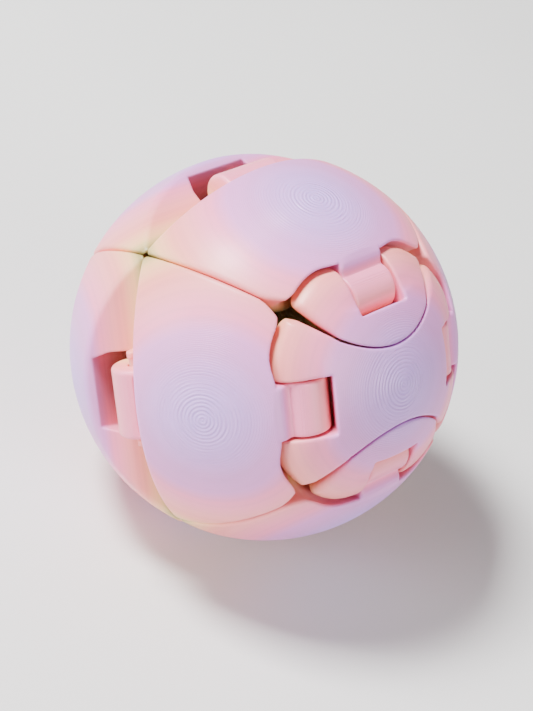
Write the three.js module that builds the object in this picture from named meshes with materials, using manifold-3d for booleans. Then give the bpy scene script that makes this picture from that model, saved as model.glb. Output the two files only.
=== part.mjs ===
// Print-in-place folding ball: a net of twelve domed panels that hinges up into a sphere.
// Millimetres, +Z up. The ball stands on the small flat land at the crown of one rear petal,
// and the origin is the centre of that land.
import * as THREE from 'three';
import { mergeVertices } from 'three/addons/utils/BufferGeometryUtils.js';
import Module from 'manifold-3d';

const wasm = await Module();
wasm.setup();

// ---- driving dimensions ----
const BALL_RADIUS = 47;
const LAYER_HEIGHT = 0.16;                       // sagitta of the flat land on each crown
const BASE = 0.63 * BALL_RADIUS;                 // inner face of a panel, from the ball's centre
const BARREL_RADIUS = 0.11 * BALL_RADIUS;
const HINGE_Z = BASE + BARREL_RADIUS;            // hinge axis height in a panel's own frame
const HINGE_X = HINGE_Z * Math.tan(Math.PI / 6); // on the plane between two panels 60 degrees apart
const CAP_BARREL_RADIUS = 0.122 * BALL_RADIUS;   // a petal's barrel at a cap, flattened at the base
const CAP_BARREL_HALF = 0.137 * BALL_RADIUS;
const CAP_SLOT_HALF = 0.15 * BALL_RADIUS;        // half width of the slot it turns in
const ARM_RADIUS = 0.167 * BALL_RADIUS;          // round end of a cap's fork arm, about the hinge
const ARM_BEND_START = 0.2 * BALL_RADIUS;        // the arm is full size out to here
const ARM_BLOCK_END = 0.255 * BALL_RADIUS;       // its root is square out to here
const ARM_OUTER_END = 0.435 * BALL_RADIUS;       // and has shrunk to the corner here
const ARM_CORNER_RADIUS = 0.05 * BALL_RADIUS;
const EQUATOR_BARREL_HALF = 0.2 * BALL_RADIUS;
const EQUATOR_SLOT_HALF = 0.212 * BALL_RADIUS;
const BOSS_RADIUS = 0.043 * BALL_RADIUS;         // pin bosses either side of an equator slot
const BOSS_OUTER_END = 0.25 * BALL_RADIUS;
const SHOULDER_SETBACK = 0.8;                    // a cap's shoulders stop short of the hinge axis
const WALL_BASE_X = 0.364 * BALL_RADIUS;         // equator wall at a panel's inner face
const FRONT_WALL_TOP_X = 0.353 * BALL_RADIUS;    // and out at the sphere: nearly upright,
const REAR_WALL_TOP_X = 0.235 * BALL_RADIUS;     // or laid back
const CAP_SLOT_BACK_X = 0.29 * BALL_RADIUS;      // slot's back wall beside the barrel
const CAP_SLOT_TOP_X = 0.395 * BALL_RADIUS;      // where that wall meets the sphere
const EQUATOR_SLOT_BACK_X = 0.262 * BALL_RADIUS; // at the sphere; the wall is undercut to here
const EQUATOR_SLOT_FOOT_X = 0.02 * BALL_RADIUS;
const NECK_END = 0.29 * BALL_RADIUS;             // where a barrel's valley has risen to the crown
const WAIST_HALF = 0.205 * BALL_RADIUS;          // half width of the bridging flap at the pole
const SEAM_BEND = 0.3 * BALL_RADIUS;             // beyond this a seam runs along the diagonal
const CAP_PIN_RADIUS = 2.0;
const EQUATOR_PIN_RADIUS = 0.9;
const CAP_PIN_HALF = 0.275 * BALL_RADIUS;
const EQUATOR_PIN_HALF = 0.235 * BALL_RADIUS;
const BORE_CLEARANCE = 0.35;
const CATCH_PROUD = 0.3;                         // how far the catch stud stands out of its barrel
const SIDE_GAP = 0.3;                            // half the gap between two panels' walls
const KNUCKLE_GAP = 0.65;                        // round clearance about a fork arm
const SEAM_GAP = 0.3;                            // half the gap between two flaps, at the sphere
const FLAP_RELIEF = 0.085 * BALL_RADIUS;         // extra room under a flap's edge, at its inner face
const BRIDGE_RELIEF = 0.014 * BALL_RADIUS;
const RING_STEPS = 36;
const DOME_STEPS = 7;
const ROUND_STEPS = 20;
const SHOULDER_STEPS = 5;
const SEAM_STEPS = 12;

const CENTRE_HEIGHT = BALL_RADIUS - LAYER_HEIGHT;
const FAR = 2 * BALL_RADIUS;

// ---- the ball's own directions ----
const FRONT_POLE = new THREE.Vector3(0, -Math.sqrt(3) / 2, 0.5);
const ARM_DIRECTIONS = {
  left: new THREE.Vector3(-1, 0, 0),
  top: new THREE.Vector3(0, 0.5, Math.sqrt(3) / 2),
  right: new THREE.Vector3(1, 0, 0),
  bottom: new THREE.Vector3(0, -0.5, -Math.sqrt(3) / 2),
};

// ---- solids ----
function solid(geometry) {
  const bare = geometry.index ? geometry : mergeVertices(geometry);
  bare.deleteAttribute('normal');
  bare.deleteAttribute('uv');
  const merged = mergeVertices(bare, 1e-4);
  return new wasm.Manifold(new wasm.Mesh({
    numProp: 3,
    vertProperties: new Float32Array(merged.attributes.position.array),
    triVerts: new Uint32Array(merged.index.array),
  }));
}

function toGeometry(manifold) {
  const mesh = manifold.getMesh();
  const geometry = new THREE.BufferGeometry();
  geometry.setAttribute('position', new THREE.BufferAttribute(mesh.vertProperties, 3));
  geometry.setIndex(new THREE.BufferAttribute(mesh.triVerts, 1));
  geometry.computeVertexNormals();
  return geometry;
}

// closed solid of revolution about local Z from [radius, z] points, first and last on the axis
function lathe(points, steps) {
  const profile = points.map(([r, z]) => new THREE.Vector2(r, z));
  const geometry = new THREE.LatheGeometry(profile, steps);
  geometry.rotateX(Math.PI / 2);
  return outward(geometry);
}

// the same about the hinge axis, from [radius, y] points
function latheAboutHinge(points, steps, hingeX) {
  const profile = points.map(([r, y]) => new THREE.Vector2(r, y));
  const geometry = new THREE.LatheGeometry(profile, steps);
  geometry.translate(hingeX, 0, HINGE_Z);
  return outward(geometry);
}

function outward(geometry) {
  const made = solid(geometry);
  if (made.volume() > 0) return made;
  const flipped = geometry.clone();
  const index = Array.from(flipped.index.array);
  for (let i = 0; i < index.length; i += 3) [index[i], index[i + 1]] = [index[i + 1], index[i]];
  flipped.setIndex(index);
  return solid(flipped);
}

// plan outline in XY, extruded from z0 to z1
function prismZ(points, z0, z1) {
  const shape = new THREE.Shape(points.map(([x, y]) => new THREE.Vector2(x, y)));
  const geometry = new THREE.ExtrudeGeometry(shape, { depth: z1 - z0, bevelEnabled: false });
  geometry.translate(0, 0, z0);
  return outward(geometry);
}

// side profile in XZ, extruded from y0 to y1
function prismY(points, y0, y1) {
  const shape = new THREE.Shape(points.map(([x, z]) => new THREE.Vector2(x, z)));
  const geometry = new THREE.ExtrudeGeometry(shape, { depth: y1 - y0, bevelEnabled: false });
  geometry.rotateX(Math.PI / 2);
  geometry.translate(0, y1, 0);
  return outward(geometry);
}

function arc(cx, cz, radius, fromDegrees, toDegrees, steps) {
  const points = [];
  for (let i = 0; i <= steps; i += 1) {
    const a = THREE.MathUtils.degToRad(fromDegrees + ((toDegrees - fromDegrees) * i) / steps);
    points.push([cx + radius * Math.cos(a), cz + radius * Math.sin(a)]);
  }
  return points;
}

const mirroredY = (part) => part.mirror([0, 1, 0]);
const bothSides = (part) => part.add(mirroredY(part));

// ---- shared features, each in a panel's own frame: crown at +Z, hinge axes along Y ----
function dome() {
  const landAngle = Math.acos(CENTRE_HEIGHT / BALL_RADIUS);
  const rimAngle = Math.acos(BASE / BALL_RADIUS);
  const points = [[0, CENTRE_HEIGHT]];
  for (let i = 0; i <= DOME_STEPS; i += 1) {
    const a = landAngle + ((rimAngle - landAngle) * i) / DOME_STEPS;
    points.push([BALL_RADIUS * Math.sin(a), BALL_RADIUS * Math.cos(a)]);
  }
  points.push([0, BASE]);
  return lathe(points, RING_STEPS);
}

// everything inboard of the equator wall at +X
function inboardOfWall(topX) {
  return prismY([[-FAR, 0], [WALL_BASE_X - SIDE_GAP, 0], [WALL_BASE_X - SIDE_GAP, BASE],
    [topX, BALL_RADIUS], [topX, BALL_RADIUS + 1], [-FAR, BALL_RADIUS + 1]], -FAR, FAR);
}

function armRadiusAt(y) {
  const t = Math.min(1, Math.max(0, (y - ARM_BEND_START) / (ARM_OUTER_END - ARM_BEND_START)));
  return ARM_RADIUS - (ARM_RADIUS - ARM_CORNER_RADIUS) * t * t;
}

// round fork arm about the hinge axis at +X, on the +Y side
function forkArm() {
  const points = [[0, CAP_SLOT_HALF], [ARM_RADIUS - 0.6, CAP_SLOT_HALF],
    [ARM_RADIUS, CAP_SLOT_HALF + 0.6]];
  for (let i = 0; i <= SHOULDER_STEPS; i += 1) {
    const y = ARM_BEND_START + ((ARM_OUTER_END - ARM_BEND_START) * i) / SHOULDER_STEPS;
    points.push([armRadiusAt(y), y]);
  }
  points.push([0, ARM_OUTER_END]);
  return latheAboutHinge(points, ROUND_STEPS, HINGE_X);
}

// room that a fork arm turns in, about the hinge axis at -X, on the +Y side
function forkArmRoom() {
  const points = [[0, CAP_BARREL_HALF], [ARM_RADIUS + KNUCKLE_GAP, CAP_BARREL_HALF]];
  for (let i = 0; i <= SHOULDER_STEPS; i += 1) {
    const y = ARM_BEND_START + ((ARM_OUTER_END - ARM_BEND_START) * i) / SHOULDER_STEPS;
    points.push([armRadiusAt(y) + KNUCKLE_GAP, y + KNUCKLE_GAP]);
  }
  const end = ARM_OUTER_END + 3 * KNUCKLE_GAP;
  points.push([ARM_CORNER_RADIUS + KNUCKLE_GAP, end], [0, end]);
  return latheAboutHinge(points, ROUND_STEPS, -HINGE_X);
}

function rod(radius, half, hingeX) {
  return latheAboutHinge([[0, -half], [radius, -half], [radius, half], [0, half]],
    ROUND_STEPS, hingeX);
}

const boreFor = (radius, half, hingeX) => rod(radius + BORE_CLEARANCE, half + BORE_CLEARANCE, hingeX);
const capBore = (hingeX) => boreFor(CAP_PIN_RADIUS, CAP_PIN_HALF, hingeX);
const equatorBore = () => boreFor(EQUATOR_PIN_RADIUS, EQUATOR_PIN_HALF, HINGE_X);

// slot for a cap's barrel at +X: its back wall leans over the barrel towards the sphere
function capSlot() {
  return prismY([[CAP_SLOT_BACK_X, BASE - 1], [FAR, BASE - 1], [FAR, FAR],
    [CAP_SLOT_TOP_X, FAR], [CAP_SLOT_TOP_X, 0.93 * BALL_RADIUS], [CAP_SLOT_BACK_X, HINGE_Z + 2]],
  -CAP_SLOT_HALF, CAP_SLOT_HALF);
}

// slot at +X for the barrel of the petal across the equator
function equatorSlot() {
  return prismY([[EQUATOR_SLOT_FOOT_X, BASE - 1], [FAR, BASE - 1], [FAR, FAR],
    [EQUATOR_SLOT_BACK_X, FAR], [EQUATOR_SLOT_BACK_X, 0.92 * BALL_RADIUS]],
  -EQUATOR_SLOT_HALF, EQUATOR_SLOT_HALF);
}

// barrel at -X; the crown rounds over and drops onto it in a shallow valley
function capBarrel() {
  const r = BALL_RADIUS;
  const profile = [[-NECK_END, BASE], [-HINGE_X, BASE],
    ...arc(-HINGE_X, HINGE_Z, CAP_BARREL_RADIUS, -105, -282, 10),
    [-0.39 * r, 0.864 * r], [-0.381 * r, 0.876 * r], [-0.372 * r, 0.893 * r],
    [-0.356 * r, 0.912 * r], [-0.328 * r, 0.934 * r], [-0.3 * r, 0.952 * r], [-NECK_END, r]];
  return prismY(profile, -CAP_BARREL_HALF, CAP_BARREL_HALF);
}

// barrel at +X that stands straight out of the equator wall
function equatorBarrel() {
  const root = FRONT_WALL_TOP_X - 2;
  const profile = [[root, BASE], [HINGE_X, BASE],
    ...arc(HINGE_X, HINGE_Z, BARREL_RADIUS, -80, 140, 12), [root, HINGE_Z + 3]];
  return prismY(profile, -EQUATOR_BARREL_HALF, EQUATOR_BARREL_HALF);
}

// one pin boss of an equator slot at +X, on the +Y side
function equatorBoss() {
  const root = EQUATOR_SLOT_BACK_X;
  const profile = [[root, BASE], [WALL_BASE_X - SIDE_GAP, BASE],
    ...arc(HINGE_X, HINGE_Z, BOSS_RADIUS, -60, 90, 7), [root, HINGE_Z + BOSS_RADIUS]];
  return prismY(profile, EQUATOR_SLOT_HALF, BOSS_OUTER_END);
}

// plan of a petal: two sides on the ball's meridians, 45 degrees either side of its middle.
// Each side is a plane through the ball's centre that leans with the meridian.
function petalSide() {
  const normal = new THREE.Vector3(-0.5, 1, -Math.sqrt(3) / 2).normalize();
  const box = new THREE.BoxGeometry(2 * FAR, 2 * FAR, FAR);
  box.translate(0, 0, FAR / 2);
  const turn = new THREE.Quaternion().setFromUnitVectors(new THREE.Vector3(0, 0, 1), normal);
  box.applyQuaternion(turn);
  box.translate(...normal.clone().multiplyScalar(-SIDE_GAP).toArray());
  return solid(box);
}

// everything past the plane halfway to the panel at -X
function beyondBisector() {
  const lean = Math.tan(Math.PI / 6);
  const gap = SIDE_GAP / Math.cos(Math.PI / 6);
  return prismY([[gap, 0], [gap - FAR * lean, FAR], [-2 * FAR, FAR], [-2 * FAR, 0]], -FAR, FAR);
}

// the corner of a petal that would cross into its neighbour with the net laid flat
function beyondFlatSeam() {
  const shift = 2 * HINGE_X - SIDE_GAP * Math.SQRT2;
  return prismZ([[-shift, 0], [FAR, FAR + shift], [-FAR, FAR + shift], [-FAR, 0]], 0, FAR);
}

function petalBlank(wallTopX) {
  return dome()
    .intersect(inboardOfWall(wallTopX))
    .subtract(bothSides(petalSide()))
    .subtract(bothSides(beyondFlatSeam()))
    .subtract(beyondBisector());
}

// the cap side of every petal: notches for the fork arms, and the barrel between them
function withCapSide(blank) {
  const valley = prismY([[-FAR, BASE - 1], [-NECK_END, BASE - 1], [-NECK_END, FAR], [-FAR, FAR]],
    -CAP_BARREL_HALF, CAP_BARREL_HALF);
  return blank
    .subtract(bothSides(forkArmRoom()))
    .subtract(valley)
    .add(capBarrel().intersect(dome()))
    .subtract(capBore(-HINGE_X));
}

function frontPetal() {
  const room = BOSS_RADIUS + KNUCKLE_GAP;
  const roomEnd = BOSS_OUTER_END + KNUCKLE_GAP;
  const bossRoom = latheAboutHinge([[0, EQUATOR_BARREL_HALF], [room, EQUATOR_BARREL_HALF],
    [room, roomEnd], [0, roomEnd]], ROUND_STEPS, HINGE_X);
  return withCapSide(petalBlank(FRONT_WALL_TOP_X))
    .subtract(bothSides(bossRoom))
    .add(equatorBarrel())
    .subtract(equatorBore());
}

function rearPetal() {
  return withCapSide(petalBlank(REAR_WALL_TOP_X))
    .add(bothSides(equatorBoss()))
    .subtract(equatorSlot())
    .subtract(equatorBore());
}

// a cap's four-sided core with a fork at each side named in `forkTurns` (quarter turns)
function capWithForks(forkTurns) {
  const w = WALL_BASE_X - SIDE_GAP;
  let cap = prismZ([[-w, -w], [w, -w], [w, w], [-w, w]], BASE - 1, FAR);
  for (const turn of forkTurns) {
    cap = cap.add(bothSides(forkArm()).add(forkRoot()).rotate([0, 0, 90 * turn]));
  }
  for (const turn of forkTurns) {
    const hole = capSlot().add(capBore(HINGE_X));
    cap = cap.subtract(hole.rotate([0, 0, 90 * turn]));
  }
  return cap.intersect(dome());
}

// blocks that tie a fork's two arms into the core, down to the inner face
function forkRoot() {
  const w = WALL_BASE_X - SIDE_GAP;
  const foot = BASE - 1;
  const edge = HINGE_X - SHOULDER_SETBACK;
  const arm = prismY([[0, foot], [HINGE_X, foot], [HINGE_X, FAR], [0, FAR]],
    CAP_SLOT_HALF, ARM_BLOCK_END);
  const shoulder = prismY([[0, foot], [w, foot], [w, BASE], [edge, HINGE_Z], [edge, FAR], [0, FAR]],
    ARM_BLOCK_END - 1, ARM_OUTER_END);
  return bothSides(arm.add(shoulder));
}

// ---- the front cap's seams ----
// From the pole's side, a seam bows across the middle and then runs out along the diagonal.
function seamReach(across) {
  const u = Math.abs(across);
  if (u >= SEAM_BEND) return u;
  return WAIST_HALF + ((SEAM_BEND - WAIST_HALF) * u * u) / (SEAM_BEND * SEAM_BEND);
}

function seamPoints(clearance) {
  const points = [];
  for (let i = -SEAM_STEPS; i <= SEAM_STEPS; i += 1) {
    const across = (i / SEAM_STEPS) * 0.75 * BALL_RADIUS;
    const onDiagonal = Math.abs(across) >= SEAM_BEND;
    points.push([seamReach(across) + clearance * (onDiagonal ? Math.SQRT2 : 1), across]);
  }
  return points;
}

// prism from the inner face to the sphere whose seam edges draw back by `relief` at the bottom
function relievedPrism(points, relief, directionOf) {
  const shape = new THREE.Shape(points.map(([x, y]) => new THREE.Vector2(x, y)));
  const depth = BALL_RADIUS - BASE;
  const geometry = new THREE.ExtrudeGeometry(shape, { depth, bevelEnabled: false });
  const place = geometry.attributes.position;
  for (let i = 0; i < place.count; i += 1) {
    if (place.getZ(i) < depth / 2) {
      const [dx, dy] = directionOf(place.getX(i), place.getY(i));
      place.setXY(i, place.getX(i) + dx * relief, place.getY(i) + dy * relief);
    }
  }
  geometry.translate(0, 0, BASE);
  return outward(geometry);
}

// flap hinged at +X
function flap() {
  const outline = [...seamPoints(SEAM_GAP), [FAR, FAR], [FAR, -FAR]];
  return capWithForks([0]).intersect(relievedPrism(outline, FLAP_RELIEF, () => [1, 0]));
}

// flap hinged at one end, with an open fork at the other that snaps over the catch
function bridgeFlap() {
  const upper = seamPoints(-SEAM_GAP).map(([reach, across]) => [across, reach]);
  const lower = upper.map(([x, y]) => [x, -y]).reverse();
  const outline = [...upper, ...lower];
  const wedge = relievedPrism(outline, BRIDGE_RELIEF, (x, y) => [0, -Math.sign(y)]);
  return capWithForks([0, 2]).intersect(wedge);
}

const rearCap = () => capWithForks([0, 1, 2, 3]);
const catchPin = () => rod(CAP_PIN_RADIUS, CAP_BARREL_HALF + CATCH_PROUD, -HINGE_X);

// ---- assembly ----
const MATERIALS = {
  panel: new THREE.MeshStandardMaterial({ color: 0xdcb9d6, roughness: 0.42, metalness: 0 }),
  pin: new THREE.MeshStandardMaterial({ color: 0xf0c9bd, roughness: 0.45, metalness: 0 }),
};

// a panel's own frame: crown along `crown`, +X tangent towards `towards`
function frameOf(crown, towards) {
  const z = crown.clone().normalize();
  const x = towards.clone().addScaledVector(z, -towards.dot(z)).normalize();
  const y = new THREE.Vector3().crossVectors(z, x);
  return new THREE.Matrix4().makeBasis(x, y, z).setPosition(0, 0, CENTRE_HEIGHT);
}

function crownOf(arm, side) {
  return arm.clone().multiplyScalar(Math.sqrt(3) / 2).addScaledVector(FRONT_POLE, 0.5 * side);
}

const ball = new THREE.Group();

function place(name, geometry, frame, material = MATERIALS.panel) {
  const mesh = new THREE.Mesh(geometry, material);
  mesh.name = name;
  mesh.applyMatrix4(frame);
  ball.add(mesh);
}

const FRONT = 1;
const REAR = -1;
const REAR_POLE = FRONT_POLE.clone().negate();
const SHAPES = {
  frontPetal: toGeometry(frontPetal()),
  rearPetal: toGeometry(rearPetal()),
  flap: toGeometry(flap()),
  equatorPin: toGeometry(rod(EQUATOR_PIN_RADIUS, EQUATOR_PIN_HALF, HINGE_X)),
  capPin: toGeometry(rod(CAP_PIN_RADIUS, CAP_PIN_HALF, -HINGE_X)),
  catchPin: toGeometry(catchPin()),
};

for (const [side, arm] of Object.entries(ARM_DIRECTIONS)) {
  const front = frameOf(crownOf(arm, FRONT), REAR_POLE);
  const rear = frameOf(crownOf(arm, REAR), FRONT_POLE);
  place(`front_petal_${side}`, SHAPES.frontPetal, front);
  place(`rear_petal_${side}`, SHAPES.rearPetal, rear);
  place(`equator_pin_${side}`, SHAPES.equatorPin, rear, MATERIALS.pin);
  place(`rear_cap_pin_${side}`, SHAPES.capPin, rear, MATERIALS.pin);
  const lastPin = side === 'right' ? 'catchPin' : 'capPin';
  const pinName = side === 'right' ? 'catch_pin' : `flap_pin_${side}`;
  place(pinName, SHAPES[lastPin], front, MATERIALS.pin);
}
place('rear_cap', toGeometry(rearCap()), frameOf(REAR_POLE, ARM_DIRECTIONS.right));
place('flap_top', SHAPES.flap, frameOf(FRONT_POLE, ARM_DIRECTIONS.top));
place('flap_bottom', SHAPES.flap, frameOf(FRONT_POLE, ARM_DIRECTIONS.bottom));
place('bridge_flap', toGeometry(bridgeFlap()), frameOf(FRONT_POLE, ARM_DIRECTIONS.right));

export default ball;
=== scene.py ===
"""Looks of the folding ball. Each panel is a fine mesh of one solid with rounded edges, made in the
panel's own frame: crown at +Z, millimetres from the ball's centre."""
import math

import bpy
import numpy as np
from mathutils import Matrix, Vector


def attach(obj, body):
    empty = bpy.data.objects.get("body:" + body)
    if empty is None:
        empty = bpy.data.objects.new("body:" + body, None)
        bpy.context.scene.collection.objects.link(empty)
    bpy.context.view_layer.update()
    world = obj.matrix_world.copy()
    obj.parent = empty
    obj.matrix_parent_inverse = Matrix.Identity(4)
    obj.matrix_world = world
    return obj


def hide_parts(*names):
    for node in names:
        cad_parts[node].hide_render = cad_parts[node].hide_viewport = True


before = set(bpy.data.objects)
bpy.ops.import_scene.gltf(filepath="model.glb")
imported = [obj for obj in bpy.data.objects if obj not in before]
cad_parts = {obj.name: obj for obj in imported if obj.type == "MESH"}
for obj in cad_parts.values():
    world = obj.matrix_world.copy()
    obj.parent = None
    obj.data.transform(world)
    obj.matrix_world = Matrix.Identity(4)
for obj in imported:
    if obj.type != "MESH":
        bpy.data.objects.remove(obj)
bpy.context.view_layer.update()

# ---- the part's dimensions, mm, in a panel's own frame ----
R = 47.0
LAYER = 0.16
BASE = 0.63 * R                                 # a panel's inner face
BARREL_RADIUS = 0.11 * R
HINGE_Z = BASE + BARREL_RADIUS
HINGE_X = HINGE_Z * math.tan(math.pi / 6)
CAP_BARREL_RADIUS = 0.122 * R
CAP_BARREL_HALF = 0.137 * R
CAP_SLOT_HALF = 0.15 * R
ARM_RADIUS = 0.167 * R
ARM_BLOCK_END = 0.255 * R
ARM_BEND_START = 0.2 * R
ARM_OUTER_END = 0.435 * R
ARM_CORNER_RADIUS = 0.05 * R
EQUATOR_BARREL_HALF = 0.18 * R
EQUATOR_SLOT_HALF = 0.182 * R
BOSS_RADIUS = 0.026 * R
BOSS_OUTER_END = 0.25 * R
SHOULDER_SETBACK = 0.8
WALL_BASE_X = 0.364 * R
FRONT_WALL_TOP_X = 0.372 * R
REAR_WALL_TOP_X = 0.235 * R
CAP_SLOT_BACK_X = 0.29 * R
CAP_SLOT_TOP_X = 0.395 * R
EQUATOR_SLOT_BACK_X = 0.262 * R
EQUATOR_SLOT_FOOT_X = 0.02 * R
NECK_END = 0.345 * R                            # where a barrel's valley starts
WAIST_HALF = 0.205 * R
SEAM_BEND = 0.3 * R
CAP_PIN_RADIUS = 2.0
EQUATOR_PIN_RADIUS = 0.9
CAP_PIN_HALF = 0.275 * R
EQUATOR_PIN_HALF = 0.235 * R
BORE_CLEARANCE = 0.35
SIDE_GAP = 0.3
SEAM_CLEARANCE = 0.16                           # half the gap along the seams
KNUCKLE_GAP = 0.85                              # round clearance about a fork arm
FLAP_RELIEF = 0.085 * R
BRIDGE_RELIEF = 0.014 * R
SLOT_FLARE = 0.03 * R                           # an equator slot is this much wider inside
RECESS_START_X = 0.392 * R                      # shallow recess along an equator barrel
RECESS_TOP_Z = 0.795 * R
RECESS_HALF = 0.155 * R

# ---- rounding radii, mm ----
TIP_RADIUS = 5.0                                # petal tips beside a cap's forks
PETAL_EDGE = 1.0
PETAL_CORNER = 1.6
BARREL_EDGE = 0.7
EQUATOR_BARREL_EDGE = 0.9
BORE_EDGE = 0.1
SHOULDER_CORNER = 2.5
CAP_EDGE = (0.5, 3.2)                           # over the core, and out on the fork arms
SEAM_EDGE = (0.45, 1.8)
SLOT_EDGE = 0.7

CENTRE_HEIGHT = (R - LAYER) / 1000
GRID = 0.42              # spacing of the meshes' points
GRID_LOW = (-33.6, -37.4, BASE - 2.23)
GRID_HIGH = (33.6, 37.4, R + 1.2)

FRONT_POLE = Vector((0, -math.sqrt(3) / 2, 0.5))
ARMS = {
    "left": Vector((-1, 0, 0)),
    "top": Vector((0, 0.5, math.sqrt(3) / 2)),
    "right": Vector((1, 0, 0)),
    "bottom": Vector((0, -0.5, -math.sqrt(3) / 2)),
}


# ---- distance fields ----
def meet(a, b, r):
    """Where both solids are, with the edge they share rounded to radius r."""
    return np.minimum(-r, np.maximum(a, b)) + np.hypot(
        np.maximum(r + a, 0), np.maximum(r + b, 0)
    )


def join(a, b, r):
    """Either solid, with a fillet of radius r where they meet."""
    return -meet(-a, -b, r)


def cut(a, b, r):
    """The first solid without the second."""
    return meet(a, -b, r)


def ramp(t, t0, t1, v0, v1):
    """v0 up to t0, v1 from t1 on, straight between."""
    return v0 + (v1 - v0) * np.clip((t - t0) / (t1 - t0), 0, 1)


def sphere(x, y, z):
    return np.sqrt(x * x + y * y + z * z) - R


def from_hinge(x, z, hinge_x):
    return np.hypot(x - hinge_x, z - HINGE_Z)


def arm_radius(y):
    t = np.clip((y - ARM_BEND_START) / (ARM_OUTER_END - ARM_BEND_START), 0, 1)
    return ARM_RADIUS - (ARM_RADIUS - ARM_CORNER_RADIUS) * t * t


def bore(x, y, z, hinge_x, radius, half):
    return np.maximum(
        from_hinge(x, z, hinge_x) - radius - BORE_CLEARANCE, abs(y) - half - BORE_CLEARANCE
    )


def outline_distance(points, x, z):
    """Signed distance in the XZ plane to a closed outline, negative inside."""
    nearest, inside = np.inf, False
    for (ax, az), (bx, bz) in zip(points, points[1:] + points[:1]):
        ex, ez = bx - ax, bz - az
        t = np.clip(((x - ax) * ex + (z - az) * ez) / (ex * ex + ez * ez), 0, 1)
        nearest = np.minimum(nearest, np.hypot(x - ax - t * ex, z - az - t * ez))
        crosses = (az > z) != (bz > z)
        side = ax + (z - az) * ex / (ez if ez else 1e-9)
        inside = inside ^ (crosses & (x < side))
    return np.where(inside, -nearest, nearest)


def arc(cx, cz, radius, start, end, steps):
    """Points on a circle in XZ, from one angle in degrees to another."""
    angles = np.radians(np.linspace(start, end, steps + 1))
    return [(cx + radius * math.cos(a), cz + radius * math.sin(a)) for a in angles]


# ---- petals ----
def arm_room(x, y, z):
    """The room that a cap's fork arms turn in, about the hinge axis at -X."""
    along = abs(y)
    about = from_hinge(x, z, -HINGE_X)
    room = about - arm_radius(along - KNUCKLE_GAP) - KNUCKLE_GAP
    room = np.maximum(room, CAP_BARREL_HALF - along)
    return np.maximum(room, along - ARM_OUTER_END - 3 * KNUCKLE_GAP)


def foot(x, y):
    """Height of a petal's inner face, a little lower at its two equator corners."""
    return BASE - 0.02 * R * ramp(abs(y), 0.5 * R, 0.6 * R, 0, 1) * ramp(x, 0.1 * R, 0.2 * R, 0, 1)


def petal_blank(x, y, z, wall_top_x):
    """A petal without its barrels and slots; its equator wall meets the sphere at wall_top_x."""
    along = abs(y)
    lean = (WALL_BASE_X - SIDE_GAP - wall_top_x) / (R - BASE)
    wall = (x - (WALL_BASE_X - SIDE_GAP) + (z - BASE) * lean) / math.hypot(1, lean)
    side = (-0.5 * x + along - math.sqrt(3) / 2 * z) / math.sqrt(2) + SEAM_CLEARANCE
    halfway = SIDE_GAP - (x * math.cos(math.pi / 6) + z * 0.5)
    flat_seam = (along - x - 2 * HINGE_X) / math.sqrt(2) + SIDE_GAP
    plan = meet(side, -arm_room(x, y, z), TIP_RADIUS)
    plan = meet(np.maximum(plan, flat_seam), halfway, 0.8)
    plan = meet(plan, wall, PETAL_CORNER)
    return np.maximum(meet(plan, sphere(x, y, z), PETAL_EDGE), foot(x, y) - z)


def cap_barrel(x, y, z):
    """The barrel at -X, and the valley that the crown drops onto it in."""
    neck = [(-0.394, 0.866), (-0.386, 0.882), (-0.379, 0.9), (-0.368, 0.916), (-0.353, 0.93),
            (-0.335, 0.942), (-0.3, 0.956), (-0.28, 0.962)]
    profile = [(-NECK_END + 3, BASE - 1), (-HINGE_X, BASE - 1)]
    profile += arc(-HINGE_X, HINGE_Z, CAP_BARREL_RADIUS, -100, -282, 24)
    profile += [(a * R, b * R) for a, b in neck]
    barrel = meet(outline_distance(profile, x, z), abs(y) - CAP_BARREL_HALF, BARREL_EDGE)
    return meet(barrel, sphere(x, y, z), 0.4)


def with_cap_side(blank, x, y, z):
    valley = np.maximum(x + NECK_END, abs(y) - CAP_BARREL_HALF)
    body = join(cut(blank, valley, 0.6), cap_barrel(x, y, z), 0.5)
    body = np.maximum(body, sphere(x, y, z))
    hole = bore(x, y, z, -HINGE_X, CAP_PIN_RADIUS, CAP_PIN_HALF)
    return np.maximum(cut(body, hole, BORE_EDGE), foot(x, y) - z)


def equator_barrel(x, y, z):
    """A block with a rounded end, and a shallow recess where it leaves the wall."""
    root = FRONT_WALL_TOP_X - 2
    profile = [(root, BASE - 1), (HINGE_X, BASE - 1)]
    profile += arc(HINGE_X, HINGE_Z, BARREL_RADIUS, -80, 95, 24) + [(root, HINGE_Z + 0.1 * R)]
    barrel = meet(outline_distance(profile, x, z), abs(y) - EQUATOR_BARREL_HALF, EQUATOR_BARREL_EDGE)
    recess = meet(x - RECESS_START_X, RECESS_TOP_Z - z, 0.4)
    return cut(barrel, meet(recess, abs(y) - RECESS_HALF, 1.2), 0.5)


def front_petal(x, y, z):
    along = abs(y)
    about = from_hinge(x, z, HINGE_X)
    room = np.maximum(about - BOSS_RADIUS - KNUCKLE_GAP, EQUATOR_BARREL_HALF - along)
    room = np.maximum(room, along - BOSS_OUTER_END - KNUCKLE_GAP)
    body = cut(with_cap_side(petal_blank(x, y, z, FRONT_WALL_TOP_X), x, y, z), room, 0.2)
    body = join(body, equator_barrel(x, y, z), 0.3)
    hole = bore(x, y, z, HINGE_X, EQUATOR_PIN_RADIUS, EQUATOR_PIN_HALF)
    body = cut(body, hole, BORE_EDGE)
    return np.maximum(body, foot(x, y) - z)


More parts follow.
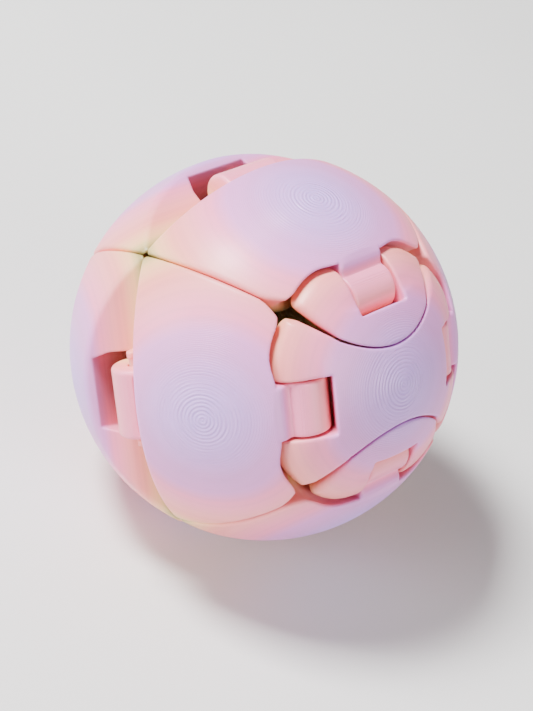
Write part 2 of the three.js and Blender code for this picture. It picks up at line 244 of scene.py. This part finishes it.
def rear_petal(x, y, z):
    along = abs(y)
    boss = np.maximum(from_hinge(x, z, HINGE_X) - BOSS_RADIUS, along - BOSS_OUTER_END)
    root = np.maximum(x - HINGE_X, z - HINGE_Z - BOSS_RADIUS + HINGE_X - x)
    root = np.maximum(np.maximum(root, along - BOSS_OUTER_END), EQUATOR_SLOT_BACK_X - x)
    body = with_cap_side(petal_blank(x, y, z, REAR_WALL_TOP_X), x, y, z)
    body = join(body, np.minimum(boss, root), 0.2)
    flare = ramp(z, 0.83 * R, 0.92 * R, SLOT_FLARE, 0)
    back = ramp(z, BASE, 0.92 * R, EQUATOR_SLOT_FOOT_X, EQUATOR_SLOT_BACK_X)
    slot = np.maximum(back - x, along - EQUATOR_SLOT_HALF - flare)
    return np.maximum(cut(body, slot, 0.3), foot(x, y) - z)


# ---- caps ----
def fork(x, y, z):
    """A fork's arms and shoulders, hinge axis at +X."""
    along = abs(y)
    arm = np.maximum(from_hinge(x, z, HINGE_X) - arm_radius(along), along - ARM_OUTER_END)
    block = np.maximum(np.maximum(x - HINGE_X, along - ARM_BLOCK_END), -x)
    reach = ramp(z, BASE, HINGE_Z, WALL_BASE_X - SIDE_GAP, HINGE_X - SHOULDER_SETBACK)
    shoulder = np.maximum(meet(x - reach, along - ARM_OUTER_END, SHOULDER_CORNER), -x)
    return join(join(arm, block, 0.5), shoulder, SHOULDER_CORNER)


def fork_slot(x, y, z):
    back = ramp(z, HINGE_Z + 2, 0.93 * R, CAP_SLOT_BACK_X, CAP_SLOT_TOP_X)
    return meet(back - x, abs(y) - CAP_SLOT_HALF, 0.5)


def turned(x, y, quarter):
    """The same point after `quarter` quarter turns back about the crown."""
    return [(x, y), (y, -x), (-x, -y), (-y, x)][quarter]


def cap(x, y, z, quarters, wedge=None):
    """A cap's core with a fork at each of `quarters`, inside the two seams of `wedge`."""
    from_core = np.maximum(abs(x), abs(y)) - WALL_BASE_X + SIDE_GAP
    body = from_core
    for q in quarters:
        body = join(body, fork(*turned(x, y, q), z), 0.8)
    if wedge is not None:
        body = meet(body, wedge, ramp(from_core, -1, 5, *SEAM_EDGE))
    body = meet(body, sphere(x, y, z), ramp(from_core, -2, 5, *CAP_EDGE))
    for q in quarters:
        u, v = turned(x, y, q)
        body = cut(body, fork_slot(u, v, z), SLOT_EDGE)
        body = cut(body, bore(u, v, z, HINGE_X, CAP_PIN_RADIUS, CAP_PIN_HALF), BORE_EDGE)
    return np.maximum(body, BASE - z)


def seam_reach(across):
    """How far from the pole a seam lies, and how much its slope stretches a distance to it."""
    u = abs(across)
    bow = WAIST_HALF + (SEAM_BEND - WAIST_HALF) * u * u / SEAM_BEND**2
    slope = np.where(u < SEAM_BEND, 2 * (SEAM_BEND - WAIST_HALF) * u / SEAM_BEND**2, 1.0)
    return np.where(u < SEAM_BEND, bow, u), np.sqrt(1 + slope * slope)


def drawn_back(z, relief):
    """How far a seam's edge draws back at height z, all of `relief` at the inner face."""
    return relief * np.clip((R - z) / (R - BASE), 0, 1) ** 2


def flap(x, y, z):
    reach, stretch = seam_reach(y)
    relief = drawn_back(z, FLAP_RELIEF)
    return cap(x, y, z, [0], (reach + relief - x) / stretch + SEAM_CLEARANCE)


def bridge_flap(x, y, z):
    reach, stretch = seam_reach(x)
    relief = drawn_back(z, BRIDGE_RELIEF)
    return cap(x, y, z, [0, 2], (abs(y) - reach + relief) / stretch + SEAM_CLEARANCE)


def rear_cap(x, y, z):
    return cap(x, y, z, [0, 1, 2, 3])


# ---- a field's surface as a closed mesh of quads ----
def cells_round(edge, axis):
    """The four cells round each grid edge along `axis`, counter-clockwise seen from its far end."""
    b, c = (axis + 1) % 3, (axis + 2) % 3
    found = []
    for db, dc in ((-1, -1), (0, -1), (0, 0), (-1, 0)):
        cell = edge.copy()
        cell[:, b] += db
        cell[:, c] += dc
        found.append(cell)
    return found


def surface(field, low, high, step):
    """Points on the field's zero surface, one a grid cell, and the quads between them."""
    axes = [np.arange(low[i], high[i] + step, step) for i in range(3)]
    shape = tuple(len(a) for a in axes)
    x, y, z = axes[0][:, None, None], axes[1][None, :, None], axes[2][None, None, :]
    value = np.broadcast_to(field(x, y, z), shape)
    size = np.array(shape) - 1
    ids, places, quads = [], [], []
    for axis in range(3):
        ahead = [slice(None)] * 3
        here = [slice(None)] * 3
        ahead[axis], here[axis] = slice(1, None), slice(None, -1)
        a, b = value[tuple(here)], value[tuple(ahead)]
        edge = np.argwhere((a < 0) != (b < 0))
        near, far = a[tuple(edge.T)], b[tuple(edge.T)]
        place = edge.astype(float)
        place[:, axis] += near / (near - far)
        ring = [np.ravel_multi_index(c.T, size) for c in cells_round(edge, axis)]
        ids += ring
        places += [place] * 4
        quad = np.stack(ring, axis=1)
        quads.append(np.where((near < 0)[:, None], quad, quad[:, ::-1]))
    ids, places, quads = np.concatenate(ids), np.concatenate(places), np.concatenate(quads)
    used, back = np.unique(ids, return_inverse=True)
    count = np.bincount(back)
    points = np.stack([np.bincount(back, places[:, i]) / count for i in range(3)], axis=1)
    points = points * step + np.array([a[0] for a in axes])
    return settle(field, points, step), np.searchsorted(used, quads)


def settle(field, points, step):
    """Moves each point down the field's slope onto the surface itself."""
    reach = 0.02
    for _ in range(4):
        here = field(*points.T)
        slope = np.stack([
            (field(*(points + shift).T) - field(*(points - shift).T)) / (2 * reach)
            for shift in np.eye(3) * reach
        ], axis=1)
        move = slope * (here / np.maximum((slope**2).sum(1), 0.2))[:, None]
        points = points - np.clip(move, -step / 3, step / 3)
    return points


def mesh_of(name, field):
    points, quads = surface(field, GRID_LOW, GRID_HIGH, GRID)
    mesh = bpy.data.meshes.new(name)
    mesh.vertices.add(len(points))
    mesh.vertices.foreach_set("co", (points / 1000).astype(np.float32).ravel())
    mesh.loops.add(quads.size)
    mesh.loops.foreach_set("vertex_index", quads.astype(np.int32).ravel())
    mesh.polygons.add(len(quads))
    mesh.polygons.foreach_set("loop_start", np.arange(0, quads.size, 4, dtype=np.int32))
    mesh.update(calc_edges=True)
    mesh.shade_smooth()
    mesh.validate()
    return mesh


# ---- materials ----
def linear(rgb):
    return [(c / 12.92 if c <= 0.04045 else ((c + 0.055) / 1.055) ** 2.4) for c in rgb] + [1.0]


class Nodes:
    """Short calls to build a material's nodes."""

    def __init__(self, name):
        self.material = bpy.data.materials.new(name)
        self.material.use_nodes = True
        self.tree = self.material.node_tree
        self.shader = self.tree.nodes["Principled BSDF"]

    def put(self, value, socket):
        if isinstance(value, bpy.types.NodeSocket):
            self.tree.links.new(value, socket)
        else:
            socket.default_value = value

    def math(self, operation, a, b=0.0, c=0.0):
        node = self.tree.nodes.new("ShaderNodeMath")
        node.operation = operation
        for value, socket in zip((a, b, c), node.inputs):
            self.put(value, socket)
        return node.outputs[0]

    def span(self, value, low, high, to_low=0.0, to_high=1.0, smooth=True):
        node = self.tree.nodes.new("ShaderNodeMapRange")
        node.interpolation_type = "SMOOTHSTEP" if smooth else "LINEAR"
        for v, key in ((value, "Value"), (low, "From Min"), (high, "From Max"),
                       (to_low, "To Min"), (to_high, "To Max")):
            self.put(v, node.inputs[key])
        return node.outputs[0]

    def noise(self, vector, scale, detail=2.0):
        node = self.tree.nodes.new("ShaderNodeTexNoise")
        node.inputs["Scale"].default_value = scale
        node.inputs["Detail"].default_value = detail
        self.put(vector, node.inputs["Vector"])
        return node.outputs["Fac"]

    def ramp(self, value, stops):
        node = self.tree.nodes.new("ShaderNodeValToRGB")
        elements = node.color_ramp.elements
        elements[0].position, elements[0].color = stops[0][0], linear(stops[0][1])
        elements[1].position, elements[1].color = stops[-1][0], linear(stops[-1][1])
        for position, colour in stops[1:-1]:
            elements.new(position).color = linear(colour)
        self.put(value, node.inputs["Fac"])
        return node.outputs["Color"]

    def position(self):
        node = self.tree.nodes.new("ShaderNodeTexCoord")
        return node.outputs["Object"], node.outputs["Normal"]

    def split(self, vector):
        node = self.tree.nodes.new("ShaderNodeSeparateXYZ")
        self.put(vector, node.inputs[0])
        return node.outputs

    def tint(self, colour, value, saturation=1.0):
        node = self.tree.nodes.new("ShaderNodeHueSaturation")
        self.put(colour, node.inputs["Color"])
        self.put(value, node.inputs["Value"])
        node.inputs["Saturation"].default_value = saturation
        return node.outputs["Color"]

    def bump(self, height, distance, strength, normal=None):
        node = self.tree.nodes.new("ShaderNodeBump")
        node.inputs["Distance"].default_value = distance
        self.put(strength, node.inputs["Strength"])
        self.put(height, node.inputs["Height"])
        if normal is not None:
            self.put(normal, node.inputs["Normal"])
        return node.outputs["Normal"]


GRADIENT = [
    (0.0, (0.637, 0.567, 0.342)),
    (0.06, (0.821, 0.704, 0.477)),
    (0.13, (0.957, 0.728, 0.536)),
    (0.2, (0.969, 0.689, 0.551)),
    (0.28, (0.969, 0.604, 0.544)),
    (0.36, (0.969, 0.568, 0.569)),
    (0.45, (0.969, 0.577, 0.605)),
    (0.55, (0.969, 0.551, 0.654)),
    (0.65, (0.959, 0.526, 0.692)),
    (0.75, (0.873, 0.553, 0.817)),
    (0.85, (0.835, 0.559, 0.818)),
    (1.0, (0.766, 0.603, 0.9)),
]


def panel_material():
    """Satin filament whose colour runs with the printed height, in layers."""
    n = Nodes("pastel_filament")
    place, normal = n.position()
    x, y, z = n.split(place)
    up = n.split(normal)[2]
    drift = n.noise(place, 45.0)
    height = n.math("MULTIPLY_ADD", n.math("SUBTRACT", drift, 0.5), 0.0014, z)
    share = n.span(height, BASE / 1000, R / 1000, smooth=False)
    colour = n.ramp(share, GRADIENT)
    wobble = n.noise(place, 160.0, 3.0)
    turns = n.math("MULTIPLY_ADD", wobble, 0.55, n.math("MULTIPLY", z, 1000 / LAYER))
    phase = n.math("FRACT", turns)
    rise = n.span(phase, 0.74, 1.0)
    tread = n.math("SUBTRACT", rise, phase)
    strength = n.span(up, 0.80, 0.97, 0.08, 0.45)
    stepped = n.bump(tread, LAYER / 1000, strength)
    radius = n.math("SQRT", n.math("ADD", n.math("MULTIPLY", x, x), n.math("MULTIPLY", y, y)))
    ring = n.math("MULTIPLY_ADD", wobble, 5.0, n.math("MULTIPLY", radius, 2 * math.pi / 0.00090))
    fade = n.span(radius, 0.004, 0.013, 1.0, 0.0)
    stepped = n.bump(n.math("SINE", ring), 0.00005, fade, stepped)
    grain = n.noise(place, 2600.0, 2.0)
    fine = n.bump(grain, 0.00003, 0.35, stepped)
    n.put(fine, n.shader.inputs["Normal"])
    band = n.noise(z, 900.0, 1.0)
    value = n.span(band, 0.3, 0.7, 0.975, 1.02)
    n.put(n.tint(colour, value), n.shader.inputs["Base Color"])
    n.put(n.span(drift, 0.2, 0.8, 0.36, 0.46), n.shader.inputs["Roughness"])
    n.shader.inputs["Subsurface Weight"].default_value = 0.1
    n.shader.inputs["Subsurface Radius"].default_value = (1.0, 0.45, 0.35)
    n.shader.inputs["Subsurface Scale"].default_value = 0.003
    n.shader.inputs["Coat Weight"].default_value = 0.05
    n.shader.inputs["Coat Roughness"].default_value = 0.25
    return n.material


def pin_material():
    n = Nodes("pin_filament")
    place, _ = n.position()
    mottle = n.noise(place, 300.0)
    n.put(n.ramp(mottle, [(0.3, (0.90, 0.66, 0.62)), (0.7, (0.95, 0.72, 0.66))]),
          n.shader.inputs["Base Color"])
    n.put(n.bump(mottle, 0.0001, 0.3), n.shader.inputs["Normal"])
    n.shader.inputs["Roughness"].default_value = 0.45
    return n.material


# ---- assembly ----
def frame_of(crown, towards):
    z = crown.normalized()
    x = (towards - z * towards.dot(z)).normalized()
    y = z.cross(x)
    turn = Matrix((x, y, z)).transposed().to_4x4()
    return Matrix.Translation((0, 0, CENTRE_HEIGHT)) @ turn


def crown_of(arm, side):
    return arm * (math.sqrt(3) / 2) + FRONT_POLE * 0.5 * side


def place_panel(node, mesh, matrix):
    piece = bpy.data.objects.new("fine_" + node, mesh)
    bpy.context.scene.collection.objects.link(piece)
    piece.matrix_world = matrix
    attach(piece, node)
    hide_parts(node)


def build():
    skin = panel_material()
    fields = (front_petal, rear_petal, rear_cap, flap, bridge_flap)
    meshes = {f.__name__: mesh_of(f.__name__, f) for f in fields}
    for mesh in meshes.values():
        mesh.materials.append(skin)
    for side, arm in ARMS.items():
        place_panel(f"front_petal_{side}", meshes["front_petal"], frame_of(crown_of(arm, 1), -FRONT_POLE))
        place_panel(f"rear_petal_{side}", meshes["rear_petal"], frame_of(crown_of(arm, -1), FRONT_POLE))
    place_panel("rear_cap", meshes["rear_cap"], frame_of(-FRONT_POLE, ARMS["right"]))
    place_panel("flap_top", meshes["flap"], frame_of(FRONT_POLE, ARMS["top"]))
    place_panel("flap_bottom", meshes["flap"], frame_of(FRONT_POLE, ARMS["bottom"]))
    place_panel("bridge_flap", meshes["bridge_flap"], frame_of(FRONT_POLE, ARMS["right"]))
    filament = pin_material()
    for name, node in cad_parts.items():
        if "pin" in name:
            node.data.materials.clear()
            node.data.materials.append(filament)


# ---- stage ----
CENTRE = Vector((0, 0, CENTRE_HEIGHT))
FOCAL_LENGTH = 106.9
CAMERA_PLACE = (0.01233, -0.04855, 10.903)      # right, up and back from the ball, in its radii
VIEW_RIGHT = Vector((0.7277, -0.6373, 0.2535))
VIEW_UP = Vector((0.3031, 0.6305, 0.7146))
VIEW_BACK = Vector((-0.6152, -0.4432, 0.6520))
LIGHTS = [  # name, direction (right, up, back), distance and size in m, power in W
    ("key", (-0.26, 0.78, 0.58), 1.0, 0.25, 30),
    ("left_fill", (-0.8, 0.1, 0.6), 1.4, 0.6, 18),
    ("right_fill", (0.75, -0.3, 0.6), 1.4, 0.6, 15),
]
FLOOR_HALF = 4


def make_camera():
    camera = bpy.data.objects.new("camera", bpy.data.cameras.new("camera"))
    bpy.context.scene.collection.objects.link(camera)
    camera.data.lens = FOCAL_LENGTH
    camera.data.sensor_width = 36
    back = VIEW_BACK.normalized()
    right = VIEW_UP.cross(back).normalized()
    up = back.cross(right)
    across, rise, distance = CAMERA_PLACE
    away = (right * across + up * rise + back * distance) * (R / 1000)
    turn = Matrix((right, up, back)).transposed().to_4x4()
    camera.matrix_world = Matrix.Translation(CENTRE + away) @ turn
    bpy.context.scene.camera = camera


def area_light(name, direction, distance, size, power):
    light = bpy.data.objects.new(name, bpy.data.lights.new(name, "AREA"))
    bpy.context.scene.collection.objects.link(light)
    light.data.size = size
    light.data.energy = power
    right, up, back = direction
    towards = (VIEW_RIGHT * right + VIEW_UP * up + VIEW_BACK * back).normalized()
    light.location = CENTRE + towards * distance
    light.rotation_mode = "QUATERNION"
    light.rotation_quaternion = towards.to_track_quat("Z", "Y")


def make_stage():
    mesh = bpy.data.meshes.new("floor")
    h = FLOOR_HALF
    mesh.from_pydata([(-h, -h, 0), (h, -h, 0), (h, h, 0), (-h, h, 0)], [], [(0, 1, 2, 3)])
    floor = bpy.data.objects.new("floor", mesh)
    bpy.context.scene.collection.objects.link(floor)
    n = Nodes("pale_floor")
    place, _ = n.position()
    n.put(n.ramp(n.noise(place, 6.0), [(0.3, (0.87, 0.865, 0.86)), (0.7, (0.89, 0.885, 0.88))]),
          n.shader.inputs["Base Color"])
    n.shader.inputs["Roughness"].default_value = 0.6
    mesh.materials.append(n.material)
    world = bpy.data.worlds.new("soft_room")
    world.use_nodes = True
    world.node_tree.nodes["Background"].inputs["Color"].default_value = (0.95, 0.97, 1.0, 1)
    world.node_tree.nodes["Background"].inputs["Strength"].default_value = 0.15
    bpy.context.scene.world = world
    for light in LIGHTS:
        area_light(*light)


build()
make_camera()
make_stage()
